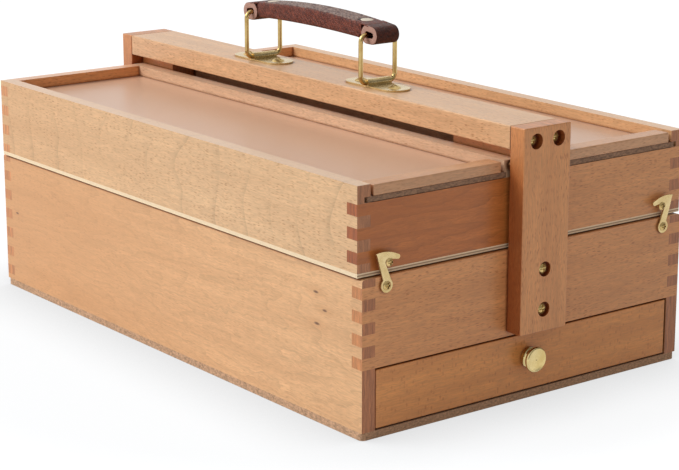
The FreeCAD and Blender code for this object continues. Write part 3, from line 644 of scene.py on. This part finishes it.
def rounded_rectangle(half, low, high, radius, steps=5, sides=6):
    """Points (across, up) of a rectangle with round corners, each of its sides cut in equal pieces."""
    corners = [(half - radius, high - radius, 0), (-half + radius, high - radius, 90),
               (-half + radius, low + radius, 180), (half - radius, low + radius, 270)]
    outline = []
    for across, up, start in corners:
        for i in range(steps + 1):
            turn = math.radians(start + 90 * i / steps)
            outline.append((across + radius * math.cos(turn), up + radius * math.sin(turn)))
    points = []
    for i, (a, b) in enumerate(zip(outline, outline[1:] + outline[:1])):
        pieces = sides if (i + 1) % (steps + 1) == 0 else 1
        for k in range(pieces):
            share = k / pieces
            points.append((a[0] + (b[0] - a[0]) * share, a[1] + (b[1] - a[1]) * share))
    return points


class Grip:
    """Shape of the grip from the side, read from the CAD nodes."""

    def __init__(self):
        loops = [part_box(name) for name in ("front_handle_loop", "back_handle_loop")]
        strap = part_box("grip_strap")
        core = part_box("grip_core")
        self.wires = [(low.y + high.y) / 2 for low, high in loops]
        self.middle = sum(self.wires) / 2
        self.wire_z = strap[0].z + FOLD_RADIUS
        self.half_width = strap[1].x
        self.crown = strap[1].z
        self.core_half = (core[1].y - core[0].y) / 2
        self.underside = core[0].z
        self.wire_reach = (self.wires[1] - self.wires[0]) / 2
        self.tip_reach = strap[1].y - FOLD_RADIUS - self.middle
        self.tangent = 0.0      # slope of the top where it meets a fold, found by repeated steps
        for _ in range(20):
            reach = self.tip_reach + FOLD_RADIUS * math.sin(self.tangent)
            drop = self.crown - self.wire_z - FOLD_RADIUS * math.cos(self.tangent)
            self.tangent = math.atan(2 * drop / reach)
        self.bend = drop / reach ** 2

    def top(self, y):
        """Height of the arched top, which meets the folds at a tangent."""
        return self.crown - self.bend * (y - self.middle) ** 2

    def low(self, y):
        """Height of the underside, which is hollowed along its length."""
        share = (y - self.middle) / self.core_half
        return self.underside + UNDERSIDE_RISE * (1 - share * share)


def make_grip_body(grip, skin):
    """Leather-wrapped core whose top leather runs on over the folds as a thin lip."""
    rings = []

    def section(y, low, high, half, corner):
        ring = []
        for across, up in rounded_rectangle(half - BODY_BULGE, low, high, corner):
            height_share = (up - low) / (high - low) * 2 - 1
            side = BODY_BULGE * (1 - height_share ** 2) * (1 if across > 0 else -1)
            edge_share = min(1.0, (abs(across) / half) ** BULGE_FADE)
            ring.append(Vector((across + side * edge_share, y, up)))
        rings.append(ring)

    def lip(end):
        outside = grip.middle + end * (grip.wire_reach + LIP_PAST_WIRE)
        inside = grip.middle + end * (grip.core_half + LIP_BEFORE_CORE)
        places = [outside, (outside + inside) / 2, inside]
        for y in places if end < 0 else reversed(places):
            high = grip.top(y) + (-LIP_DIP if y == outside else TOP_LIFT)
            section(y, high - LIP_THICKNESS, high, grip.half_width, LIP_CORNER)

    lip(-1)
    for i in range(BODY_STATIONS + 1):
        share = -1 + 2 * i / BODY_STATIONS
        y = grip.middle + grip.core_half * share
        tuck = (max(0.0, abs(share) - TUCK_START) / (1 - TUCK_START)) ** 2
        low = grip.low(y) + TUCK_RISE * tuck
        section(y, low, grip.top(y) + TOP_LIFT, grip.half_width - TUCK_IN * tuck, BODY_CORNER)
    lip(1)
    body = loft("leather_grip_body", rings, skin)
    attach(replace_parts(body, "grip_core"), "grip")


def make_fold(grip, end, skin, raw):
    """Strap end folded round one wire: a closed band with raw cut edges."""
    wire_y = grip.wires[0] if end < 0 else grip.wires[1]
    spine = grip.tip_reach - grip.wire_reach
    radius = FOLD_RADIUS - FOLD_THICKNESS / 2
    half = grip.half_width - FOLD_INSET
    section = rounded_rectangle(half, -FOLD_THICKNESS / 2, FOLD_THICKNESS / 2, FOLD_EDGE, steps=4, sides=3)
    path = []
    for i in range(FOLD_STEPS + 1):
        turn = math.pi / 2 - grip.tangent - (math.pi - grip.tangent) * i / FOLD_STEPS
        path.append((spine + radius * math.cos(turn), radius * math.sin(turn), turn))
    start_up = grip.top(wire_y) - FOLD_THICKNESS / 2 - grip.wire_z
    for i in range(FOLD_STEPS + 1):
        turn = -math.pi / 2 - math.pi * i / FOLD_STEPS
        up_radius = radius + (start_up - radius) * (i / FOLD_STEPS) ** 2
        path.append((radius * math.cos(turn), up_radius * math.sin(turn), turn))
    rings = []
    for out, up, turn in path:
        ring = []
        for across, lift in section:
            y = wire_y + end * (out + lift * math.cos(turn))
            ring.append(Vector((across, y, grip.wire_z + up + lift * math.sin(turn))))
        rings.append(ring)
    fold = loft("leather_fold_" + ("front" if end < 0 else "back"), rings, skin, closed=True)
    fold.data.materials.append(raw)
    for face in fold.data.polygons:     # the cut edges face sideways
        if abs(face.normal.x) > 0.8:
            face.material_index = 1
    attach(fold, "grip")
    return fold


def make_window(grip, end, raw, dark):
    """Oval window in the grip's top that shows pale leather below, with painted shadow on its far side: a
    very dark leather lip.
    """
    centre = (grip.wires[0] if end < 0 else grip.wires[1]) - end * WINDOW_INSET

    def patch(name, shift, scale, lift, material):
        rings = []
        for share, rise in WINDOW_DOME:
            ring = []
            for i in range(WINDOW_POINTS):
                turn = 2 * math.pi * i / WINDOW_POINTS
                y = centre + shift + WINDOW_SIZE[1] * scale * share * math.sin(turn)
                x = WINDOW_SIZE[0] * scale * share * math.cos(turn)
                ring.append(Vector((x, y, grip.top(y) + TOP_LIFT + rise * lift)))
            rings.append(ring)
        piece = loft(name, rings, material)
        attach(piece, "grip")

    side = "front" if end < 0 else "back"
    # Painted shadow: a very dark patch under the pale one shows round its far side.
    patch("leather_window_shadow_" + side, shift=1.4 * MM, scale=1.0, lift=0.25 * MM, material=dark)
    patch("leather_window_" + side, shift=-0.4 * MM, scale=0.86, lift=0.42 * MM, material=raw)


def dress_grip():
    """The leather grip in place of its two solids."""
    # The wrap's top is rubbed, and lighter and greyer from a painted sheen.
    skin = leather("leather_wrap", srgb(100, 40, 26), srgb(160, 86, 66), 0.42, crown=srgb(160, 130, 116))
    smooth = leather("leather_smooth", srgb(84, 38, 26), srgb(112, 56, 40), 0.44)
    raw = raw_leather("leather_raw_edge", srgb(150, 104, 90), srgb(206, 168, 152))
    pale = raw_leather("leather_pale", srgb(228, 212, 190), srgb(248, 238, 222))
    # Very dark leather that paints the shadow on each window's far side.
    dark = leather("leather_painted_shadow", srgb(52, 28, 24), srgb(66, 36, 28), 0.5)
    grip = Grip()
    make_grip_body(grip, skin)
    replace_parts(make_fold(grip, -1, smooth, raw), "grip_strap")
    make_fold(grip, 1, smooth, raw)
    for end in (-1, 1):
        make_window(grip, end, pale, dark)


# ---------------------------------------------------------------- stage and light
FLOOR_SIZE = 16.0
FLOOR_DROP = 0.2 * MM           # the floor lies this far below the box's underside
CONTACT_REACH = 0.065           # the soft shade on the floor spreads this far
FAR_START = 0.28                # the floor brightens from this far off the box's middle
FAR_FULL = 0.38                 # to this far off
KEY_WAY = Vector((-0.60, 0.48, 0.64)).normalized()      # towards the lamp
KEY_AIM = Vector((0, 0, 0.1))
KEY_DISTANCE = 4.0
KEY_SIZE = 2.2
KEY_POWER = 108
FILL_WAY = Vector((-0.30, -0.45, 0.84)).normalized()    # the side of the studio that gives most soft light
SHINE_WAY = Vector((-0.40, 0.75, 0.35)).normalized()    # the side that is brightest in reflections


def make_floor():
    """Pale floor with the box's soft shade on it.

    The camera and reflections see it white. All other light meets a plain pale grey.
    """
    bpy.ops.mesh.primitive_plane_add(size=FLOOR_SIZE, location=(0, 0, -FLOOR_DROP))
    floor = bpy.context.object
    floor.name = "floor"
    material = bpy.data.materials.new("floor")
    material.use_nodes = True
    graph = Graph(material.node_tree)
    grey = graph.add("ShaderNodeBsdfDiffuse")
    grey.inputs["Color"].default_value = (0.8, 0.8, 0.8, 1)
    dim = graph.add("ShaderNodeBsdfDiffuse")
    dim.inputs["Color"].default_value = (0.08, 0.085, 0.09, 1)
    glow = graph.add("ShaderNodeEmission")
    glow.inputs["Color"].default_value = (0.99, 0.995, 1.0, 1.0)
    from_middle = graph.vector("LENGTH", graph.add("ShaderNodeTexCoord").outputs["Object"])
    far_glow = graph.remap(from_middle, FAR_START, FAR_FULL, 0.0, 0.08, smooth=True)
    contact = graph.remap(graph.openness(CONTACT_REACH), 0.48, 0.96, 0.715, 0.92)
    graph.feed(glow.inputs["Strength"], graph.math("ADD", contact, far_glow))
    white = graph.add("ShaderNodeAddShader")
    graph.feed(white.inputs[0], dim.outputs[0])
    graph.feed(white.inputs[1], glow.outputs[0])

    path = graph.add("ShaderNodeLightPath")
    seen = graph.math("MAXIMUM", path.outputs["Is Camera Ray"], path.outputs["Is Glossy Ray"])
    seen = graph.math("MAXIMUM", seen, path.outputs["Is Transmission Ray"])
    mixed = graph.add("ShaderNodeMixShader")
    for socket, value in zip(mixed.inputs, (seen, grey.outputs[0], white.outputs[0])):
        graph.feed(socket, value)
    graph.feed(graph.add("ShaderNodeOutputMaterial").inputs["Surface"], mixed.outputs[0])
    floor.data.materials.append(material)


def make_world():
    """Studio walls: soft light, most of it from above, and bright walls behind for reflections.

    The camera sees them white.
    """
    world = bpy.data.worlds.new("studio")
    bpy.context.scene.world = world
    world.use_nodes = True
    graph = Graph(world.node_tree)
    way = graph.add("ShaderNodeTexCoord").outputs["Generated"]
    fill = graph.remap(graph.vector("DOT_PRODUCT", way, FILL_WAY), -0.9, 0.9, 0.15, 0.48, smooth=True)
    shine = graph.remap(graph.vector("DOT_PRODUCT", way, SHINE_WAY), -0.75, 0.45, 0.20, 1.0, smooth=True)
    path = graph.add("ShaderNodeLightPath")
    level = graph.mix(path.outputs["Is Glossy Ray"], graph.join(fill, fill, fill),
                      graph.join(shine, shine, shine))
    level = graph.mix(path.outputs["Is Camera Ray"], level, (1, 1, 1, 1))
    background = graph.add("ShaderNodeBackground")
    graph.feed(background.inputs["Color"], level)
    graph.feed(graph.add("ShaderNodeOutputWorld").inputs["Surface"], background.outputs[0])


def make_key():
    """Large soft lamp from the upper left and behind."""
    data = bpy.data.lights.new("key", "AREA")
    data.shape = "DISK"
    data.size = KEY_SIZE
    data.energy = KEY_POWER
    lamp = bpy.data.objects.new("key", data)
    lamp.location = KEY_AIM + KEY_WAY * KEY_DISTANCE
    lamp.rotation_euler = KEY_WAY.to_track_quat("Z", "Y").to_euler()
    bpy.context.scene.collection.objects.link(lamp)


def finish_view():
    """Plain colours, with no film look laid over them."""
    bpy.context.scene.view_settings.view_transform = "Standard"


make_camera()
make_floor()
make_world()
make_key()
finish_view()
dress_wood()
dress_boards()
dress_brass()
dress_grip()
